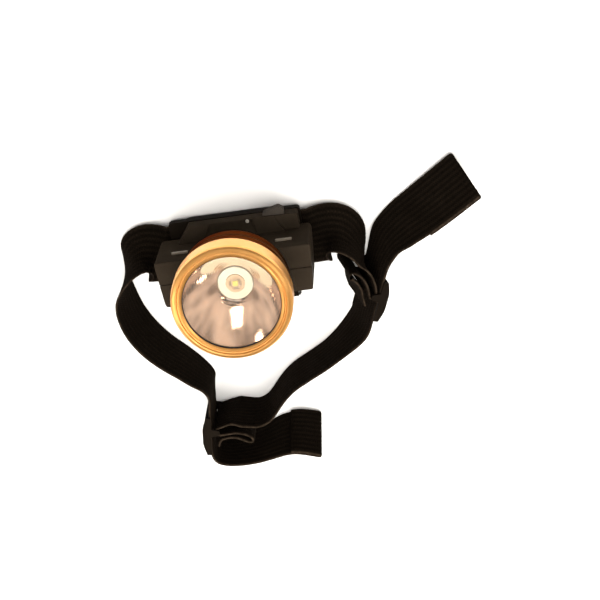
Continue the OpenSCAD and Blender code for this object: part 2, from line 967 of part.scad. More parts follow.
module reflector() {
    steps = 16;
    radii = [for (i = [0:steps]) mirror_hole_r + (mirror_rim_r - mirror_hole_r) * i / steps];
    color([0.85, 0.85, 0.86])
        rotate_extrude()
            polygon(concat(
                [for (r = radii) [r, mirror_z(r)]],
                [
                    [mirror_rim_r, seat_z + flange_t],
                    [barrel_r - 1.1, seat_z + flange_t],
                    [barrel_r - 1.1, seat_z + 0.1]
                ],
                [for (i = [steps:-1:0]) [radii[i] + mirror_t * 0.9, mirror_z(radii[i])]]
            ));
}

module led_board() {
    color([0.8, 0.8, 0.78])
        translate([0, 0, board_z])
            difference() {
                cylinder(r = 10, h = board_t);
                for (a = [0:60:300])
                    rotate([0, 0, a])
                        translate([10, 0, -1])
                            cylinder(r = 1.6, h = 4);
            }
}

module led_base() {
    color([0.95, 0.72, 0.5])
        translate([0, 0, led_z])
            cylinder(r = 4.75, h = 0.9);
}

module led_die() {
    color([0.95, 0.8, 0.2])
        translate([-1.3, -1.3, led_z + 0.9])
            cube([2.6, 2.6, 0.2]);
}

module led_dome() {
    color([0.95, 0.93, 0.85, 0.4])
        translate([0, 0, led_z + 0.9])
            rotate_extrude()
                polygon(concat(
                    [[2.1, 0], [3.2, 0]],
                    [for (a = [15:15:90]) [3.2 * cos(a), 2.2 * sin(a)]],
                    [[0, 0.3], [2.1, 0.3]]
                ));
}

module led_insulator() {
    color([0.95, 0.95, 0.93])
        translate([0, 0, led_z])
            difference() {
                cylinder(r = mirror_hole_r - 0.15, h = 0.6);
                translate([0, 0, -1])
                    cylinder(r = 4.85, h = 3);
            }
}

// Lead from the circuit board up through the neck to the lamp board
module lead(side) {
    r = 0.6;
    low = case_z + 23.8;
    high = board_z;
    route = smooth([
        [side * 5.6, 0, low],
        [side * 4.8, 0, low + 1.2],
        [side * 3.2, 0, low + 3],
        [side * 3, 0, high]
    ], 2);
    count = len(route);
    points = [
        for (i = [0:count - 1])
            let (d = unit(route[min(i + 1, count - 1)] - route[max(i - 1, 0)]), s = unit(cross([0, 1, 0], d)))
            for (k = [0:7])
                route[i] + r * (cos(45 * k) * s + sin(45 * k) * [0, 1, 0])
    ];
    faces = concat(
        [[for (k = [7:-1:0]) k]],
        [
            for (i = [0:count - 2], k = [0:7])
                let (a = 8 * i + k, b = 8 * i + (k + 1) % 8)
                each [[a, b, b + 8], [a, b + 8, a + 8]]
        ],
        [[for (k = [0:7]) 8 * (count - 1) + k]]
    );
    polyhedron(points, faces);
}

module lead_red() {
    color([0.7, 0.1, 0.08])
        lead(1);
}

module lead_black() {
    color(black)
        lead(-1);
}

foam_pad();
pad_carrier();
bracket();
hinge_pin();
hinge_clip();
carrier_screw(0);  // carrier_screw_1
carrier_screw(1);  // carrier_screw_2
carrier_screw(2);  // carrier_screw_3
carrier_screw(3);  // carrier_screw_4
strap_plate_run();
strap_left_run();
strap_right_run();
strap_rear_run();
tail_left();
tail_right();
hem_left();
hem_right();
slider_left();
slider_right();
sewn_end_left();
sewn_end_right();
case_upper();
case_lower();
case_screw(0);  // case_screw_1
case_screw(1);  // case_screw_2
case_screw(2);  // case_screw_3
case_screw(3);  // case_screw_4
switch_button();
switch_body();
charge_light();
charge_socket();
grip_bar_left();
grip_bar_right();
circuit_board();
battery_cell();
battery_contact();
battery_spring();
head_barrel();
head_nut();
head_washer();
bezel_ring();
lens();
lens_gasket();
reflector();
led_board();
led_base();
led_die();
led_dome();
led_insulator();
lead_red();
lead_black();
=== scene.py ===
import math

import bmesh
import bpy
from mathutils import Matrix, Vector


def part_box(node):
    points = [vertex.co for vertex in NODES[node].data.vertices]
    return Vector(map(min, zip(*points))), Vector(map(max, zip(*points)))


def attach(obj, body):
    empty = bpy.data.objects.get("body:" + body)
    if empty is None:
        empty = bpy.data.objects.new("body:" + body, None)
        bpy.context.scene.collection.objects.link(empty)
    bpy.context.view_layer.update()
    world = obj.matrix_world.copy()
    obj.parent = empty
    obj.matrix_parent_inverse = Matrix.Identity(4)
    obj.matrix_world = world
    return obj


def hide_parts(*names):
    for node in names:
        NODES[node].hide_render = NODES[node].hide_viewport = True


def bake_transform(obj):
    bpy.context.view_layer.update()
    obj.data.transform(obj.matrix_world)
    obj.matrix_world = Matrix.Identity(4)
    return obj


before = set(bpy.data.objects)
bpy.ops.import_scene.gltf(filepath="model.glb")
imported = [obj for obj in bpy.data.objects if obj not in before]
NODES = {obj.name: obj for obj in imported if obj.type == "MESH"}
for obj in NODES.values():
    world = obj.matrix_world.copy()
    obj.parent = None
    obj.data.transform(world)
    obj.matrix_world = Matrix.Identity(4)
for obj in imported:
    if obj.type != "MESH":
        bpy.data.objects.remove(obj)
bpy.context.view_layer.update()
scene = bpy.context.scene

# Routes and webbing are worked out in millimetres, materials in metres
MM = 0.001
UP = Vector((0, 0, 1))

# Webbing: size, number of broad lengthwise ribs, and how deep they are
STRAP_W, STRAP_T = 30.0, 1.4
RIBS, RIB_DEPTH = 10, 0.3
EDGE_ROUND = 0.9
# Weave, in metres: pitch of the fine ribs, of the weft bars across them, and of the strands
FINE_PITCH, BAR_PITCH, STRAND_PITCH = 0.00125, 0.0011, 0.00032
# The middle of the webbing in the weave's V coordinate, which stays above zero
V_MIDDLE = 0.05

# ---------------------------------------------------------------- camera
# Looks down from the wearer's upper side, a little turned and rolled
TILT, AIM, ROLL = math.radians(24.0), math.radians(12.7), math.radians(-4.5)
TARGET = Vector((0.0258, -0.0329, 0.0))
DISTANCE = 0.75
view_out = Vector((math.sin(TILT) * math.sin(AIM), math.sin(TILT) * math.cos(AIM), math.cos(TILT)))
flat_right = Vector((math.cos(AIM), -math.sin(AIM), 0.0))
flat_up = Vector((math.cos(TILT) * math.sin(AIM), math.cos(TILT) * math.cos(AIM), -math.sin(TILT)))
cam_x = flat_right * math.cos(ROLL) - flat_up * math.sin(ROLL)
cam_y = flat_right * math.sin(ROLL) + flat_up * math.cos(ROLL)
cam_data = bpy.data.cameras.new("camera")
cam_data.lens = 85
cam_data.sensor_width = 36
cam_data.clip_start = 0.01
cam = bpy.data.objects.new("camera", cam_data)
scene.collection.objects.link(cam)
cam.matrix_world = Matrix.Translation(TARGET + view_out * DISTANCE) @ Matrix((
    (cam_x.x, cam_y.x, view_out.x, 0),
    (cam_x.y, cam_y.y, view_out.y, 0),
    (cam_x.z, cam_y.z, view_out.z, 0),
    (0, 0, 0, 1),
))
scene.camera = cam


# ---------------------------------------------------------------- materials
def new_mat(name):
    m = bpy.data.materials.new(name)
    m.use_nodes = True
    m.node_tree.nodes.clear()
    out = m.node_tree.nodes.new("ShaderNodeOutputMaterial")
    b = m.node_tree.nodes.new("ShaderNodeBsdfPrincipled")
    m.node_tree.links.new(b.outputs[0], out.inputs[0])
    return m, m.node_tree, b


def node(t, kind, **values):
    n = t.nodes.new(kind)
    for k, v in values.items():
        if k in n.inputs:
            n.inputs[k].default_value = v
        else:
            setattr(n, k, v)
    return n


def coords(t, scale=(1, 1, 1), kind="Object"):
    c = node(t, "ShaderNodeTexCoord")
    m = node(t, "ShaderNodeMapping")
    m.inputs["Scale"].default_value = scale
    t.links.new(c.outputs[kind], m.inputs["Vector"])
    return m.outputs["Vector"]


def noise(t, vec, scale, detail=4.0, rough=0.55):
    n = node(t, "ShaderNodeTexNoise")
    n.inputs["Scale"].default_value = scale
    n.inputs["Detail"].default_value = detail
    n.inputs["Roughness"].default_value = rough
    t.links.new(vec, n.inputs["Vector"])
    return n.outputs["Fac"]


def ramp(t, fac, stops):
    r = node(t, "ShaderNodeValToRGB")
    while len(r.color_ramp.elements) < len(stops):
        r.color_ramp.elements.new(0.5)
    for e, (p, c) in zip(r.color_ramp.elements, stops):
        e.position = p
        e.color = (*c, 1) if len(c) == 3 else c
    t.links.new(fac, r.inputs["Fac"])
    return r.outputs["Color"]


def to_range(t, fac, low, high, a=0.0, b=1.0):
    r = node(t, "ShaderNodeMapRange")
    r.inputs["From Min"].default_value = a
    r.inputs["From Max"].default_value = b
    r.inputs["To Min"].default_value = low
    r.inputs["To Max"].default_value = high
    t.links.new(fac, r.inputs["Value"])
    return r.outputs["Result"]


def math_node(t, op, a, b=None):
    m = node(t, "ShaderNodeMath")
    m.operation = op
    for i, v in enumerate((a, b)):
        if v is None:
            continue
        if isinstance(v, (int, float)):
            m.inputs[i].default_value = v
        else:
            t.links.new(v, m.inputs[i])
    return m.outputs[0]


def bump(t, b, height, strength, distance):
    n = node(t, "ShaderNodeBump")
    n.inputs["Strength"].default_value = strength
    n.inputs["Distance"].default_value = distance
    t.links.new(height, n.inputs["Height"])
    t.links.new(n.outputs["Normal"], b.inputs["Normal"])


def plastic(name, dark, light, rough, grain=900.0, grain_depth=0.00002, coat=0.0, scuff=0.06, level=0.5):
    m, t, b = new_mat(name)
    v = coords(t)
    cloud = noise(t, v, 45.0, 5.0)
    t.links.new(ramp(t, cloud, [(0.3, dark), (0.7, light)]), b.inputs["Base Color"])
    smear = noise(t, v, 160.0, 6.0, 0.6)
    t.links.new(to_range(t, smear, rough - scuff, rough + scuff, 0.3, 0.7), b.inputs["Roughness"])
    bump(t, b, noise(t, v, grain, 3.0), 0.35, grain_depth)
    b.inputs["Coat Weight"].default_value = coat
    b.inputs["Coat Roughness"].default_value = 0.12
    b.inputs["IOR"].default_value = 1.5
    b.inputs["Specular IOR Level"].default_value = level
    b.inputs["Specular Tint"].default_value = (1.0, 0.88, 0.76, 1)
    return m


def turned_metal(name, dark, light, rough, pitch=2600.0, rim=(1, 1, 1)):
    # metal turned on a lathe: fine rings around the beam axis
    m, t, b = new_mat(name)
    v = coords(t)
    w = node(t, "ShaderNodeTexWave", wave_type="RINGS", rings_direction="Z", wave_profile="SIN")
    w.inputs["Scale"].default_value = pitch / 6.28
    w.inputs["Distortion"].default_value = 0.4
    w.inputs["Detail"].default_value = 2.0
    t.links.new(v, w.inputs["Vector"])
    cloud = noise(t, v, 70.0, 5.0)
    t.links.new(ramp(t, cloud, [(0.3, dark), (0.7, light)]), b.inputs["Base Color"])
    fine = noise(t, coords(t, (1, 1, 6)), 260.0, 6.0)
    t.links.new(to_range(t, fine, rough - 0.06, rough + 0.08, 0.3, 0.7), b.inputs["Roughness"])
    mixed = math_node(t, "ADD", math_node(t, "MULTIPLY", w.outputs["Fac"], 0.5), noise(t, v, 1500.0, 2.0))
    bump(t, b, mixed, 0.25, 0.00001)
    b.inputs["Metallic"].default_value = 1.0
    b.inputs["Specular Tint"].default_value = (*rim, 1)
    return m


def wave(t, op, value, pitch):
    # SINE or COSINE of a value in metres, with the given pitch in metres
    return math_node(t, op, math_node(t, "MULTIPLY", value, 6.2832 / pitch))


def scaled_sum(t, terms):
    # sum of (value, factor) pairs
    total = None
    for value, factor in terms:
        part = math_node(t, "MULTIPLY", value, factor)
        total = part if total is None else math_node(t, "ADD", total, part)
    return total


def webbing_mat(name, dark, light, thread, edge):
    # U runs along the webbing and V across it, both in metres
    m, t, b = new_mat(name)
    uv = node(t, "ShaderNodeUVMap")
    uv.uv_map = "weave"
    sep = node(t, "ShaderNodeSeparateXYZ")
    t.links.new(uv.outputs["UV"], sep.inputs[0])
    u, v = sep.outputs[0], sep.outputs[1]
    # weft bars across each fine rib, shifted by half a pitch from rib to rib
    rib = math_node(t, "FLOOR", math_node(t, "MULTIPLY", v, 1 / FINE_PITCH))
    shifted = math_node(t, "ADD", u, math_node(t, "MULTIPLY", rib, BAR_PITCH / 2))
    bars = wave(t, "SINE", shifted, BAR_PITCH)
    ribs = wave(t, "COSINE", v, FINE_PITCH)
    strands = wave(t, "SINE", scaled_sum(t, [(v, 1.0), (u, 0.35)]), STRAND_PITCH)
    o = coords(t)
    fuzz = noise(t, o, 2600.0, 3.0, 0.7)
    height = scaled_sum(t, [(bars, 0.4), (ribs, -0.15), (strands, 0.16), (fuzz, 0.5)])
    bump(t, b, height, 0.8, 0.00018)
    # the tops of the broad ribs are painted paler than the grooves between them: a painted highlight along
    # each crest, with some rubbed thread
    patch = noise(t, o, 60.0, 4.0)
    across = math_node(t, "SUBTRACT", v, V_MIDDLE)
    crest_highlight = wave(t, "COSINE", across, STRAP_W * MM / RIBS)
    tint = scaled_sum(t, [(patch, 0.5), (bars, 0.1), (crest_highlight, -0.17)])
    body = ramp(t, tint, [(0.12, dark), (0.45, light), (0.8, thread)])
    # both edges are painted paler: a painted highlight where the rounded selvedges catch the light, broken up
    # by noise
    selvedge_highlight = to_range(t, math_node(t, "ABSOLUTE", across), 0.0, 1.0, 0.0141, 0.0148)
    highlight_breakup = to_range(t, noise(t, o, 420.0, 3.0), 0.35, 1.0, 0.35, 0.62)
    mix = node(t, "ShaderNodeMix", data_type="RGBA")
    mix.inputs[7].default_value = (*edge, 1)
    t.links.new(math_node(t, "MULTIPLY", selvedge_highlight, highlight_breakup), mix.inputs[0])
    t.links.new(body, mix.inputs[6])
    t.links.new(mix.outputs[2], b.inputs["Base Color"])
    t.links.new(to_range(t, fuzz, 0.7, 0.92, 0.3, 0.7), b.inputs["Roughness"])
    b.inputs["Sheen Weight"].default_value = 0.012
    b.inputs["Sheen Roughness"].default_value = 0.4
    b.inputs["Sheen Tint"].default_value = (0.75, 0.55, 0.42, 1)
    b.inputs["Specular IOR Level"].default_value = 0.004
    return m


def cloth_mat(name, dark, light, sheen=0.08, level=0.2):
    m, t, b = new_mat(name)
    v = coords(t)
    knit = node(t, "ShaderNodeTexVoronoi")
    knit.inputs["Scale"].default_value = 1400.0
    t.links.new(v, knit.inputs["Vector"])
    cloud = noise(t, v, 90.0, 5.0)
    t.links.new(ramp(t, cloud, [(0.3, dark), (0.7, light)]), b.inputs["Base Color"])
    t.links.new(to_range(t, cloud, 0.8, 0.95, 0.3, 0.7), b.inputs["Roughness"])
    bump(t, b, knit.outputs["Distance"], 0.6, 0.0002)
    b.inputs["Sheen Weight"].default_value = sheen
    b.inputs["Specular IOR Level"].default_value = level
    return m


M = {}
M["case"] = plastic("case_plastic", (0.0145, 0.0108, 0.0074), (0.0235, 0.0178, 0.0124), 0.5, level=0.002)
M["bracket"] = plastic("bracket_plastic", (0.0038, 0.0028, 0.0020), (0.0070, 0.0052, 0.0037), 0.42,
                       level=0.006)
M["button"] = plastic("button_plastic", (0.024, 0.020, 0.0165), (0.040, 0.034, 0.028), 0.55, level=0.01)
M["bar"] = plastic("bar_plastic", (0.10, 0.085, 0.066), (0.15, 0.128, 0.10), 0.5, level=0.2)
M["bezel"] = turned_metal("bezel_gold", (0.78, 0.385, 0.11), (0.88, 0.46, 0.145), 0.4)
# a darker copy of the bezel's gold with a dim rim tint: painted shade on the barrel behind the bezel
M["barrel"] = turned_metal("barrel_gold_painted_shade", (0.082, 0.040, 0.017), (0.12, 0.060, 0.026), 0.4,
                           pitch=1800.0, rim=(0.35, 0.22, 0.13))
M["steel"] = turned_metal("steel", (0.42, 0.41, 0.40), (0.56, 0.55, 0.54), 0.32, pitch=4000.0)
M["dark_steel"] = turned_metal("blackened_steel", (0.07, 0.066, 0.06), (0.12, 0.114, 0.104), 0.4,
                               pitch=4000.0)
# webbing colours: dark, light, pale threads, then the painted highlight colour of the edges
M["webbing"] = webbing_mat("webbing", (0.0025, 0.0018, 0.0012), (0.0052, 0.0037, 0.0025),
                           (0.0125, 0.0088, 0.0060), (0.022, 0.0157, 0.0106))
M["thread"] = cloth_mat("sewing_thread", (0.0034, 0.0024, 0.0016), (0.0064, 0.0045, 0.0031),
                        sheen=0.0, level=0.004)
M["foam"] = cloth_mat("foam_cover", (0.006, 0.0052, 0.0048), (0.014, 0.012, 0.011))
M["rubber"] = plastic("black_rubber", (0.006, 0.006, 0.006), (0.012, 0.0115, 0.011), 0.6, level=0.3)
M["white"] = plastic("white_plastic", (0.375, 0.355, 0.262), (0.41, 0.39, 0.292), 0.5, level=0.05)
M["lamp_base"] = plastic("lamp_base_silicone", (0.30, 0.205, 0.115), (0.345, 0.24, 0.145), 0.5,
                         coat=0.05, level=0.1)
M["die"] = plastic("phosphor", (0.42, 0.375, 0.03), (0.48, 0.43, 0.05), 0.5, level=0.1)
M["board"] = plastic("circuit_board", (0.02, 0.13, 0.05), (0.04, 0.2, 0.08), 0.35, coat=0.4)
M["lamp_board"] = plastic("lamp_board", (0.5, 0.5, 0.48), (0.66, 0.66, 0.63), 0.4)
M["cell"] = plastic("cell_wrap", (0.05, 0.12, 0.3), (0.08, 0.17, 0.38), 0.3, coat=0.5)
M["red"] = plastic("red_plastic", (0.42, 0.03, 0.02), (0.6, 0.06, 0.04), 0.3, coat=0.3)
M["pale_light"] = plastic("light_pipe", (0.20, 0.19, 0.165), (0.28, 0.265, 0.235), 0.18, coat=0.3)
M["switch"] = plastic("switch_plastic", (0.03, 0.03, 0.032), (0.06, 0.06, 0.063), 0.45)


def mirror_mat():
    m, t, b = new_mat("mirror_coating")
    v = coords(t)
    cloud = noise(t, v, 55.0, 4.0)
    # the mirror is tinted warm pinkish beige: a painted reflection of a warm room, laid into the mirror's
    # colour
    painted_reflection_tint = ramp(t, cloud, [(0.3, (0.84, 0.66, 0.53)), (0.7, (0.94, 0.77, 0.64))])
    t.links.new(painted_reflection_tint, b.inputs["Base Color"])
    t.links.new(to_range(t, noise(t, v, 300.0, 5.0), 0.05, 0.11, 0.3, 0.7), b.inputs["Roughness"])
    bump(t, b, noise(t, v, 95.0, 3.0), 0.3, 0.00006)
    b.inputs["Metallic"].default_value = 1.0
    return m


def glass_mat(name, alpha, rough=0.03):
    m, t, b = new_mat(name)
    v = coords(t)
    haze = ramp(t, noise(t, v, 40.0, 3.0), [(0.3, (0.55, 0.45, 0.37)), (0.7, (0.65, 0.55, 0.46))])
    t.links.new(haze, b.inputs["Base Color"])
    t.links.new(to_range(t, noise(t, v, 500.0, 5.0), rough, rough + 0.05, 0.3, 0.7), b.inputs["Roughness"])
    b.inputs["Alpha"].default_value = alpha
    b.inputs["Coat Weight"].default_value = 1.0
    b.inputs["Coat Roughness"].default_value = 0.03
    m.surface_render_method = "BLENDED"
    return m


M["mirror"] = mirror_mat()
M["glass"] = glass_mat("clear_glass", 0.04)
M["dome"] = glass_mat("clear_dome", 0.06)

LOOK = {
    "case": ["case_upper", "case_lower"],
    "bracket": ["pad_carrier", "bracket", "slider_left", "slider_right"],
    "button": ["switch_button"],
    "bar": ["grip_bar_left", "grip_bar_right"],
    "bezel": ["bezel_ring"],
    "barrel": ["head_barrel"],
    "dark_steel": ["hinge_pin", "hinge_clip", "carrier_screw_1", "carrier_screw_2", "carrier_screw_3",
                   "carrier_screw_4", "case_screw_1", "case_screw_2", "case_screw_3", "case_screw_4"],
    "steel": ["head_nut", "head_washer", "battery_contact", "battery_spring"],
    "rubber": ["lens_gasket", "charge_socket", "lead_black"],
    "glass": ["lens"],
    "dome": ["led_dome"],
    "mirror": ["reflector"],
    "white": ["led_insulator"],
    "lamp_base": ["led_base"],
    "die": ["led_die"],
    "lamp_board": ["led_board"],
    "board": ["circuit_board"],
    "cell": ["battery_cell"],
    "switch": ["switch_body"],
    "red": ["lead_red"],
    "pale_light": ["charge_light"],
}
for look, names in LOOK.items():
    for n in names:
        NODES[n].data.materials.clear()
        NODES[n].data.materials.append(M[look])


# ---------------------------------------------------------------- webbing
# Each route point is x, y, height of the middle and outward lean: 0 stands on edge and -90 lies flat
STRAP_Y = 4.5
PAD_T, CARRIER_T = 3.0, 1.6
STRAP_Z = PAD_T + CARRIER_T + STRAP_T / 2 + 0.1
# Sliders: place of the middle, then heading and lean in degrees
LEFT_AT, LEFT_TURN = (-29.4, -90.0, 17.5), (263.0, 0.0)
RIGHT_AT, RIGHT_TURN = (63.8, -23.2, 17.8), (68.0, 18.0)
# The slider's set-back bar: place along the webbing, radius of the webbing wound round it, distance off
BAR_U = 2.0
WRAP_R = 1.0 + 0.1 + STRAP_T / 2
BAR_Y = STRAP_T + 0.3 + WRAP_R


def along(at, turn, u):
    # a route point at a distance along a slider
    a = math.radians(turn[0])
    return (at[0] + u * math.cos(a), at[1] + u * math.sin(a), at[2], turn[1])


LEFT = [
    (-36.3, STRAP_Y, STRAP_Z, -90), (-37.6, STRAP_Y, STRAP_Z, -90), (-38.9, STRAP_Y, STRAP_Z, -90),
    (-43, 6.1, 7.2, -76), (-48.5, 8.6, 10.2, -54),
    (-54.5, 7.2, 13.6, -28), (-60, -1.4, 15, -6), (-62.6, -12, 15.2, 10), (-60.5, -25, 15.2, 14),
    (-55, -36.5, 15.2, 14), (-47.5, -46, 15.2, 12), (-39.5, -53.5, 15.4, 10), (-32.5, -60.5, 16, 7),
    along(LEFT_AT, LEFT_TURN, -23), along(LEFT_AT, LEFT_TURN, -16), along(LEFT_AT, LEFT_TURN, -7),
    along(LEFT_AT, LEFT_TURN, 2), along(LEFT_AT, LEFT_TURN, 11.4),
]
LEFT_TAIL = [
    along(LEFT_AT, LEFT_TURN, 11.7), along(LEFT_AT, LEFT_TURN, 13.4), (-29.8, -105.9, 17.2, 1),
    (-26.7, -107.8, 16.9, 3), (-22.4, -108.8, 16.5, 5), (-16, -109, 15.9, 8), (-8, -108.2, 15.4, 11),
    (0, -106, 15.3, 15), (7, -103.6, 15.5, 19), (13, -102.9, 15.8, 21), (19, -104.2, 15.5, 22),
    (25.4, -106.8, 14.6, 22),
]
REAR = [
    (-15, -85.4, 16.8, 5), (-9.6, -86.9, 16.6, 4), (-3.8, -88, 16, 4), (1.6, -86.2, 15.5, 5),
    (6, -81.6, 15.3, 5), (10.8, -75.8, 15.3, 5), (17.5, -69.8, 15.3, 5), (27, -64.5, 15.3, 5),
    (36, -59.4, 15.4, 6), (44, -53.4, 15.8, 9), (51.4, -46.8, 16.6, 14), along(RIGHT_AT, RIGHT_TURN, -18.6),
    along(RIGHT_AT, RIGHT_TURN, -12.6), along(RIGHT_AT, RIGHT_TURN, -4), along(RIGHT_AT, RIGHT_TURN, 5),
    along(RIGHT_AT, RIGHT_TURN, 14.6),
]
RIGHT_TAIL = [
    along(RIGHT_AT, RIGHT_TURN, 14.9), along(RIGHT_AT, RIGHT_TURN, 17.8), (73, -2.8, 16.9, 21),
    (76, 1.2, 15.6, 27), (80.2, 4.6, 14.1, 32), (86.6, 8.8, 12.9, 37), (94, 13.2, 12.9, 40),
    (102, 18.2, 13.1, 42), (110, 23.4, 13.1, 43), (118, 28.6, 13.1, 44),
]
RIGHT = [
    (62.2, -7.4, 17.2, -2), (61, -2.4, 16.6, -9), (57.6, 2.9, 14.8, -23), (52.6, 6.4, 11.8, -45),
    (47, 6.6, 8.7, -67), (42.4, 5.4, 6.6, -81),
    (38.9, STRAP_Y, STRAP_Z, -90), (37.6, STRAP_Y, STRAP_Z, -90), (36.3, STRAP_Y, STRAP_Z, -90),
]


def smooth(p, steps=8):
    # smooth curve through the points of a route
    out = []
    for i in range(len(p) - 1):
        a, b, c, d = p[max(i - 1, 0)], p[i], p[i + 1], p[min(i + 2, len(p) - 1)]
        for k in range(steps):
            t = k / steps
            out.append(tuple(
                (2 * b[j] + (c[j] - a[j]) * t + (2 * a[j] - 5 * b[j] + 4 * c[j] - d[j]) * t * t
                 + (3 * b[j] - a[j] - 3 * c[j] + d[j]) * t ** 3) / 2 for j in range(len(b))))
    out.append(tuple(p[-1]))
    return out


def stations(points):
    # (centre, along, across, through) at each point of a route with leans
    out = []
    n = len(points)
    for i, p in enumerate(points):
        a, b = points[max(i - 1, 0)], points[min(i + 1, n - 1)]
        t = Vector((b[0] - a[0], b[1] - a[1], b[2] - a[2])).normalized()
        side = t.cross(UP).normalized()
        rise = side.cross(t)
        lean = math.radians(p[3])
        across = (math.cos(lean) * rise + math.sin(lean) * side).normalized()
        out.append((Vector(p[:3]), t, across, across.cross(t).normalized()))
    return out


def even(st, spacing=1.5, soften=3):
    # evenly spaced copy of a list of stations, softened a little
    length = [0.0]
    for a, b in zip(st, st[1:]):
        length.append(length[-1] + (b[0] - a[0]).length)
    count = max(2, round(length[-1] / spacing))
    out, j = [], 0
    for i in range(count + 1):
        s = length[-1] * i / count
        while j < len(st) - 2 and length[j + 1] < s:
            j += 1
        f = (s - length[j]) / max(length[j + 1] - length[j], 1e-9)
        out.append([st[j][0].lerp(st[j + 1][0], f), st[j][2].lerp(st[j + 1][2], f)])
    for _ in range(soften):
        out = [out[0]] + [
            [(a[k] + b[k] * 2 + c[k]) / 4 for k in range(2)] for a, b, c in zip(out, out[1:], out[2:])
        ] + [out[-1]]
    res = []
    for i, (c, across) in enumerate(out):
        t = (out[min(i + 1, count)][0] - out[max(i - 1, 0)][0]).normalized()
        across = (across - t * across.dot(t)).normalized()
        res.append((c, t, across, across.cross(t).normalized()))
    return res


def reverse(st):
    return [(c, -t, w, -n) for c, t, w, n in reversed(st)]


def fold_back(st, length, r=0.78, side=1):
    # the end turned back on itself by half a turn, then laid along the last stretch
    c, t, w, n = st[-1]
    turn = []
    for i in range(1, 8):
        a = math.pi * i / 8
        centre = c + n * side * r * (1 - math.cos(a)) + t * r * math.sin(a)
        onward = t * math.cos(a) + n * side * math.sin(a)
        turn.append((centre, onward, w, n * math.cos(a) - t * side * math.sin(a)))
    back, run = [], 0.0
    for a, b in zip(reversed(st[:-1]), reversed(st)):
        back.append((b[0] + b[3] * side * 2 * r, -b[1], b[2], -b[3]))
        run += (a[0] - b[0]).length
        if run >= length:
            break
    return turn + back


def finished(name, me, material):
    # an object of a new mesh, with its material
    me.materials.append(M[material])
    o = bpy.data.objects.new(name, me)
    scene.collection.objects.link(o)
    return o


def length_of(st):
    return sum((b[0] - a[0]).length for a, b in zip(st, st[1:]))


def band(name, st):
    # a closed ribbon with rounded selvedges and lengthwise ribs
    n = RIBS * 4
    middle_groove = -1 if RIBS % 2 == 0 else 1
    me = bpy.data.meshes.new(name)
    bm = bmesh.new()
    uv = bm.loops.layers.uv.new("weave")
    rows, s = [], 0.0
    for i, (c, t, w, q) in enumerate(st):
        if i:
            s += (c - st[i - 1][0]).length
        # the ribs fade where the webbing turns tightly
        bend = st[max(i - 1, 0)][1].angle(st[min(i + 1, len(st) - 1)][1], 0.0)
        relief = RIB_DEPTH * max(0.2, 1 - bend / 0.5)
        ring = []
        for face in (1, -1):
            for k in range(n + 1):
                v = (k / n - 0.5)
                edge = min(1.0, (0.5 - abs(v)) * STRAP_W / EDGE_ROUND)
                thick = STRAP_T / 2 * (0.45 + 0.55 * math.sqrt(max(0.0, 1 - (1 - edge) ** 2)))
                rib = relief * (math.cos(2 * math.pi * v * RIBS) * middle_groove - 1) / 2 * edge
                ring.append((c + w * v * STRAP_W * 0.998 + q * face * (thick + rib), s, v * STRAP_W))
        rows.append([(bm.verts.new(p * MM), a * MM, b * MM) for p, a, b in ring])
    m = n + 1
    order = list(range(m)) + list(range(2 * m - 1, m - 1, -1))

    def quad(a, b, c, d):
        try:
            f = bm.faces.new((a[0], b[0], c[0], d[0]))
        except ValueError:
            return
        f.smooth = True
        for loop, x in zip(f.loops, (a, b, c, d)):
            loop[uv].uv = (x[1], x[2] + V_MIDDLE)

    for r0, r1 in zip(rows, rows[1:]):
        for k in range(2 * m):
            a, b = order[k], order[(k + 1) % (2 * m)]
            quad(r0[a], r0[b], r1[b], r1[a])
    for row, flip in ((rows[0], True), (rows[-1], False)):
        for k in range(n):
            q = (row[k], row[k + 1], row[m + k + 1], row[m + k])
            quad(*(reversed(q) if flip else q))
    bmesh.ops.recalc_face_normals(bm, faces=bm.faces)
    bm.to_mesh(me)
    bm.free()
    return finished(name, me, "webbing")


def local_frame(at, turn):
    # a slider's middle, its direction along the webbing, across to its left, and up its bars
    h, l = math.radians(turn[0]), math.radians(turn[1])
    e1 = Vector((math.cos(h), math.sin(h), 0))
    side = Vector((-math.sin(h), math.cos(h), 0))
    e2 = side * math.cos(l) + UP * math.sin(l)
    e3 = UP * math.cos(l) - side * math.sin(l)
    return Vector(at), e1, e2, e3


def flat_path(at, turn, pts):
    # stations along points (u, v, drop) beside a slider's middle bar
    o, e1, e2, e3 = local_frame(at, turn)
    p = [o + e1 * u + e2 * v - UP * d for u, v, d in pts]
    out = []
    for i, c in enumerate(p):
        t = (p[min(i + 1, len(p) - 1)] - p[max(i - 1, 0)]).normalized()
        w = (e3 - t * e3.dot(t)).normalized()
        out.append((c, t, w, w.cross(t).normalized()))
    return out


def wrap(bar_at, a0, a1, steps=14):
    # points (u, v, drop) round a slider's middle bar, between two angles in degrees
    turns = [math.radians(a0 + (a1 - a0) * i / steps) for i in range(steps + 1)]
    return [(bar_at + WRAP_R * math.cos(a), BAR_Y + WRAP_R * math.sin(a), 0) for a in turns]


plate = [(20 - 56.3 * i / 20, STRAP_Y, STRAP_Z, -90) for i in range(20)]
front = even(stations(plate) + stations(smooth(LEFT)) + stations(smooth(LEFT_TAIL))[1:])
front_fold = fold_back(front, 16, side=1)
webbing_front = band("webbing_front", front + front_fold)
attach(webbing_front, "headband")
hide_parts("strap_plate_run", "strap_left_run", "tail_left", "hem_left")

left_leg = flat_path(LEFT_AT, LEFT_TURN, [
    *smooth([(-6.2, 12.4, 0.6), (-5.9, 9, 0.4), (-4.8, 6, 0)], 6), *wrap(-BAR_U, 165, 336)])
rear = even(reverse(left_leg) + stations(smooth(REAR)) + stations(smooth(RIGHT_TAIL))[1:], 1.3, 2)
rear_fold = fold_back(rear, 30, side=-1)
webbing_rear = band("webbing_rear", rear + rear_fold)
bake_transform(webbing_rear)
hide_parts("strap_rear_run", "tail_right", "hem_right")

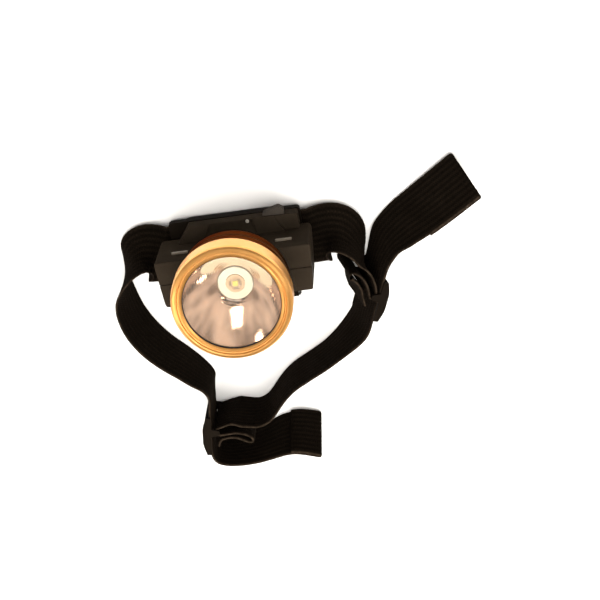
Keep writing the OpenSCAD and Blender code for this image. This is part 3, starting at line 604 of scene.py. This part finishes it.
left_fold = even(flat_path(LEFT_AT, LEFT_TURN, [
    *wrap(-BAR_U, 339, 345, 2),
    *smooth([
        (0.1, 5.4, 0), (-0.5, 8.6, 0), (-0.9, 13, 0.3), (0, 18, 0.6), (2.2, 21.8, 0.6), (4.4, 22.2, 0.6),
        (4.4, 19.4, 0.6), (2.9, 16, 0.6), (1.7, 12.4, 0.3), (1.8, 8.4, 0), (3.2, 5.2, 0), (6.6, 4, 0),
    ], 6)]), 0.9, 1)
fold_left = band("webbing_fold_left", left_fold)
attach(fold_left, "left_slider")
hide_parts("sewn_end_left")

right_leg = flat_path(RIGHT_AT, RIGHT_TURN, [
    *smooth([(9.6, 5, 1.2), (7.6, 3.7, 0.7), (5.4, 2.5, 0.3)], 4), *wrap(BAR_U, 290, 92)])
plate_right = [(36.3 - 16.3 * i / 6, STRAP_Y, STRAP_Z, -90) for i in range(1, 7)]
front_right = even(reverse(stations(smooth(RIGHT)) + stations(plate_right)) + right_leg, 1.3, 2)
webbing_right = band("webbing_right", front_right)
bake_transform(webbing_right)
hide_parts("strap_right_run")

right_fold = even(flat_path(RIGHT_AT, RIGHT_TURN, [
    *wrap(BAR_U, 88, 80, 2),
    *smooth([
        (4, 6.2, 0), (6.8, 7.8, 0.4), (9.2, 10.2, 1.2), (10.6, 13, 2.2), (10.4, 15, 2.8), (8.8, 15.8, 3),
        (7.2, 14.2, 2.8), (5.8, 12, 2), (3.2, 9.8, 1.4), (-0.6, 8, 1), (-4.8, 5.4, 0.6),
    ], 6)]), 0.9, 1)
fold_right = band("webbing_fold_right", right_fold)
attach(fold_right, "right_slider")
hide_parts("sewn_end_right")


# ---------------------------------------------------------------- sewing
STITCH, STITCH_GAP = 2.0, 0.8
THREAD_R, THREAD_LIFT = 0.14, 0.12
HEM_OFF = 1.5  # the hem's own layer, between the thread and the tail


def one_stitch(bm, points):
    # a short thread, thickest in the middle, through (point, outward) pairs
    last = len(points) - 1
    rings = []
    for k, (p, q) in enumerate(points):
        d = (points[min(k + 1, last)][0] - points[max(k - 1, 0)][0]).normalized()
        side = d.cross(q).normalized()
        r = THREAD_R * (0.55 + 0.45 * math.sin(math.pi * k / last))
        rings.append([bm.verts.new((p + (side * math.cos(a) + q * math.sin(a)) * r) * MM)
                      for a in (math.pi * 2 * j / 6 for j in range(6))])
    for ra, rb in zip(rings, rings[1:]):
        for j in range(6):
            bm.faces.new((ra[j], ra[(j + 1) % 6], rb[(j + 1) % 6], rb[j])).smooth = True
    bm.faces.new(list(reversed(rings[0])))
    bm.faces.new(rings[-1])


def stitches(name, st, rows, body, face=1, off=0.0):
    # rows of thread: each row is (start, end) given as (distance along, distance across) in mm
    me = bpy.data.meshes.new(name)
    bm = bmesh.new()
    dist = [0.0]
    for a, b in zip(st, st[1:]):
        dist.append(dist[-1] + (b[0] - a[0]).length)

    def at(s, v):
        s = max(0.0, min(dist[-1] - 1e-6, s))
        j = 0
        while dist[j + 1] < s:
            j += 1
        f = (s - dist[j]) / max(dist[j + 1] - dist[j], 1e-9)
        c, w, q = (st[j][k].lerp(st[j + 1][k], f) for k in (0, 2, 3))
        return c + w * v + q * (face * (STRAP_T / 2 + off)), q * face

    for (s0, v0), (s1, v1) in rows:
        total = math.hypot(s1 - s0, v1 - v0)
        pitch = STITCH + STITCH_GAP
        for i in range(max(1, int(total / pitch))):
            f0 = (i * pitch + STITCH_GAP / 2) / total
            f1 = min(1.0, f0 + STITCH / total)
            points = []
            for k in range(7):
                f = f0 + (f1 - f0) * k / 6
                p, q = at(s0 + (s1 - s0) * f, v0 + (v1 - v0) * f)
                lift = THREAD_LIFT * math.sin(math.pi * k / 6) - THREAD_LIFT / 2
                points.append((p + q * lift, q))
            one_stitch(bm, points)
    bmesh.ops.recalc_face_normals(bm, faces=bm.faces)
    bm.to_mesh(me)
    bm.free()
    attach(finished(name, me, "thread"), body)


def hem_box(st, depth, w=13):
    # rows of stitches round a hem of the given depth, at the end of the webbing
    inner, outer = length_of(st) - depth, length_of(st) - 2.5
    return [((inner, -w), (inner, w)), ((outer, -w), (outer, w)),
            ((inner, -w), (outer, -w)), ((inner, w), (outer, w))]


stitches("stitch_hem_left_in", front, hem_box(front, 14), "headband", face=1, off=HEM_OFF)
stitches("stitch_hem_left_out", front, hem_box(front, 14), "headband", face=-1)
stitches("stitch_hem_right_in", rear, hem_box(rear, 28), "headband", face=1)
stitches("stitch_hem_right_out", rear, hem_box(rear, 28), "headband", face=-1, off=HEM_OFF)
FOLD_ROWS = [((u, -13), (u, 13)) for u in (10, 12.5)]
stitches("stitch_fold_left", left_fold, FOLD_ROWS, "left_slider", face=1)
stitches("stitch_fold_left_out", left_fold, FOLD_ROWS, "left_slider", face=-1)
stitches("stitch_fold_right", right_fold, FOLD_ROWS, "right_slider", face=1)
stitches("stitch_fold_right_out", right_fold, FOLD_ROWS, "right_slider", face=-1)


# ---------------------------------------------------------------- foam pad
def foam_pad():
    # a flat pad with a soft, rounded rim, inside the CAD solid's box
    lo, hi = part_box("foam_pad")
    cx, cy = (lo.x + hi.x) / 2, (lo.y + hi.y) / 2
    hx, hy = (hi.x - lo.x) / 2, (hi.y - lo.y) / 2
    thick = hi.z - lo.z
    corner = 0.009
    me = bpy.data.meshes.new("forehead_pad")
    bm = bmesh.new()

    def ring(inset, height):
        # rounded rectangle, inset from the pad's box, at a share of its thickness
        ax, ay, r = hx - inset, hy - inset, max(corner - inset * 0.7, 0.002)
        verts = []
        for qx, qy, a0 in ((1, 1, 0), (-1, 1, 90), (-1, -1, 180), (1, -1, 270)):
            for k in range(9):
                a = math.radians(a0 + 90 * k / 8)
                x = cx + qx * (ax - r) + r * math.cos(a)
                y = cy + qy * (ay - r) + r * math.sin(a)
                verts.append(bm.verts.new((x, y, lo.z + thick * height)))
        return verts

    def join(a, b):
        for k in range(len(a)):
            bm.faces.new((a[k], a[(k + 1) % len(a)], b[(k + 1) % len(b)], b[k]))

    rim = [ring(inset, height) for inset, height in (
        (0.0030, 0.0), (0.0012, 0.04), (0.0003, 0.2), (0.0, 0.45),
        (0.0003, 0.75), (0.0011, 0.93), (0.0026, 1.0))]
    for a, b in zip(rim, rim[1:]):
        join(a, b)
    for last, height in ((rim[0], 0.0), (rim[-1], 1.0)):
        for inset in (0.006, 0.011, 0.015):
            inner = ring(inset, height)
            join(last, inner)
            last = inner
        bm.faces.new(last)
    bmesh.ops.recalc_face_normals(bm, faces=bm.faces)
    for f in bm.faces:
        f.smooth = True
    bm.to_mesh(me)
    bm.free()
    o = finished("forehead_pad", me, "foam")
    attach(o, "headband")
    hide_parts("foam_pad")


foam_pad()

# ---------------------------------------------------------------- floor and light
floor_mesh = bpy.data.meshes.new("floor")
bm = bmesh.new()
bmesh.ops.create_grid(bm, x_segments=8, y_segments=8, size=3.0)
bm.to_mesh(floor_mesh)
bm.free()
floor = bpy.data.objects.new("floor", floor_mesh)
floor.location = (0, 0, -0.0002)
scene.collection.objects.link(floor)
fm, ft, fb = new_mat("pale_floor")
paint = ramp(ft, noise(ft, coords(ft), 3.0), [(0.3, (0.62, 0.62, 0.617)), (0.7, (0.637, 0.637, 0.633))])
ft.links.new(paint, fb.inputs["Base Color"])
fb.inputs["Roughness"].default_value = 0.9
fb.inputs["Specular IOR Level"].default_value = 0.1
floor_mesh.materials.append(fm)

world = bpy.data.worlds.new("studio")
scene.world = world
world.use_nodes = True
wt = world.node_tree
sky = node(wt, "ShaderNodeSeparateXYZ")
wt.links.new(node(wt, "ShaderNodeTexCoord").outputs["Generated"], sky.inputs[0])
# brighter overhead than at the horizon
dome = ramp(wt, sky.outputs[2], [
    (0.0, (0.10, 0.095, 0.09)), (0.25, (0.30, 0.285, 0.27)),
    (0.6, (0.62, 0.60, 0.58)), (1.0, (0.86, 0.84, 0.82)),
])
# soft unevenness of the room, for the mirror to show
room = noise(wt, coords(wt, kind="Generated"), 2.2, 1.5)
shade = node(wt, "ShaderNodeMix", data_type="RGBA", blend_type="MULTIPLY")
shade.inputs[0].default_value = 1.0
wt.links.new(dome, shade.inputs[6])
patches = ramp(wt, room, [(0.38, (0.26, 0.21, 0.17)), (0.52, (0.93, 0.91, 0.89)), (0.66, (1.25, 1.21, 1.16))])
wt.links.new(patches, shade.inputs[7])
wt.links.new(shade.outputs[2], wt.nodes["Background"].inputs[0])
scene.view_settings.view_transform = "Standard"
scene.view_settings.look = "None"


def area(name, loc, look, size, power, colour=(1, 1, 1)):
    d = bpy.data.lights.new(name, "AREA")
    d.shape = "RECTANGLE"
    d.size, d.size_y = size
    d.energy = power
    d.color = colour
    o = bpy.data.objects.new(name, d)
    o.location = loc
    o.rotation_euler = (Vector(look) - Vector(loc)).to_track_quat("-Z", "Y").to_euler()
    scene.collection.objects.link(o)
    return o


key = area("key", (0.1, -0.3, 1.3), (0, -0.03, 0.02), (1.8, 1.6), 68, (1.0, 0.97, 0.93))
key.visible_glossy = False  # the broad light would wash out the mirror and the bezel
area("glint", (0.12, -0.3, 1.2), (0, 0, 0.03), (0.3, 0.3), 3, (1.0, 0.96, 0.9))
area("side_glint", (0.8, 0.1, 0.8), (0, 0, 0.03), (0.3, 0.35), 3, (1.0, 0.96, 0.9))
area("left_glint", (-0.9, -0.35, 0.7), (0, 0, 0.03), (0.35, 0.35), 3, (1.0, 0.95, 0.86))
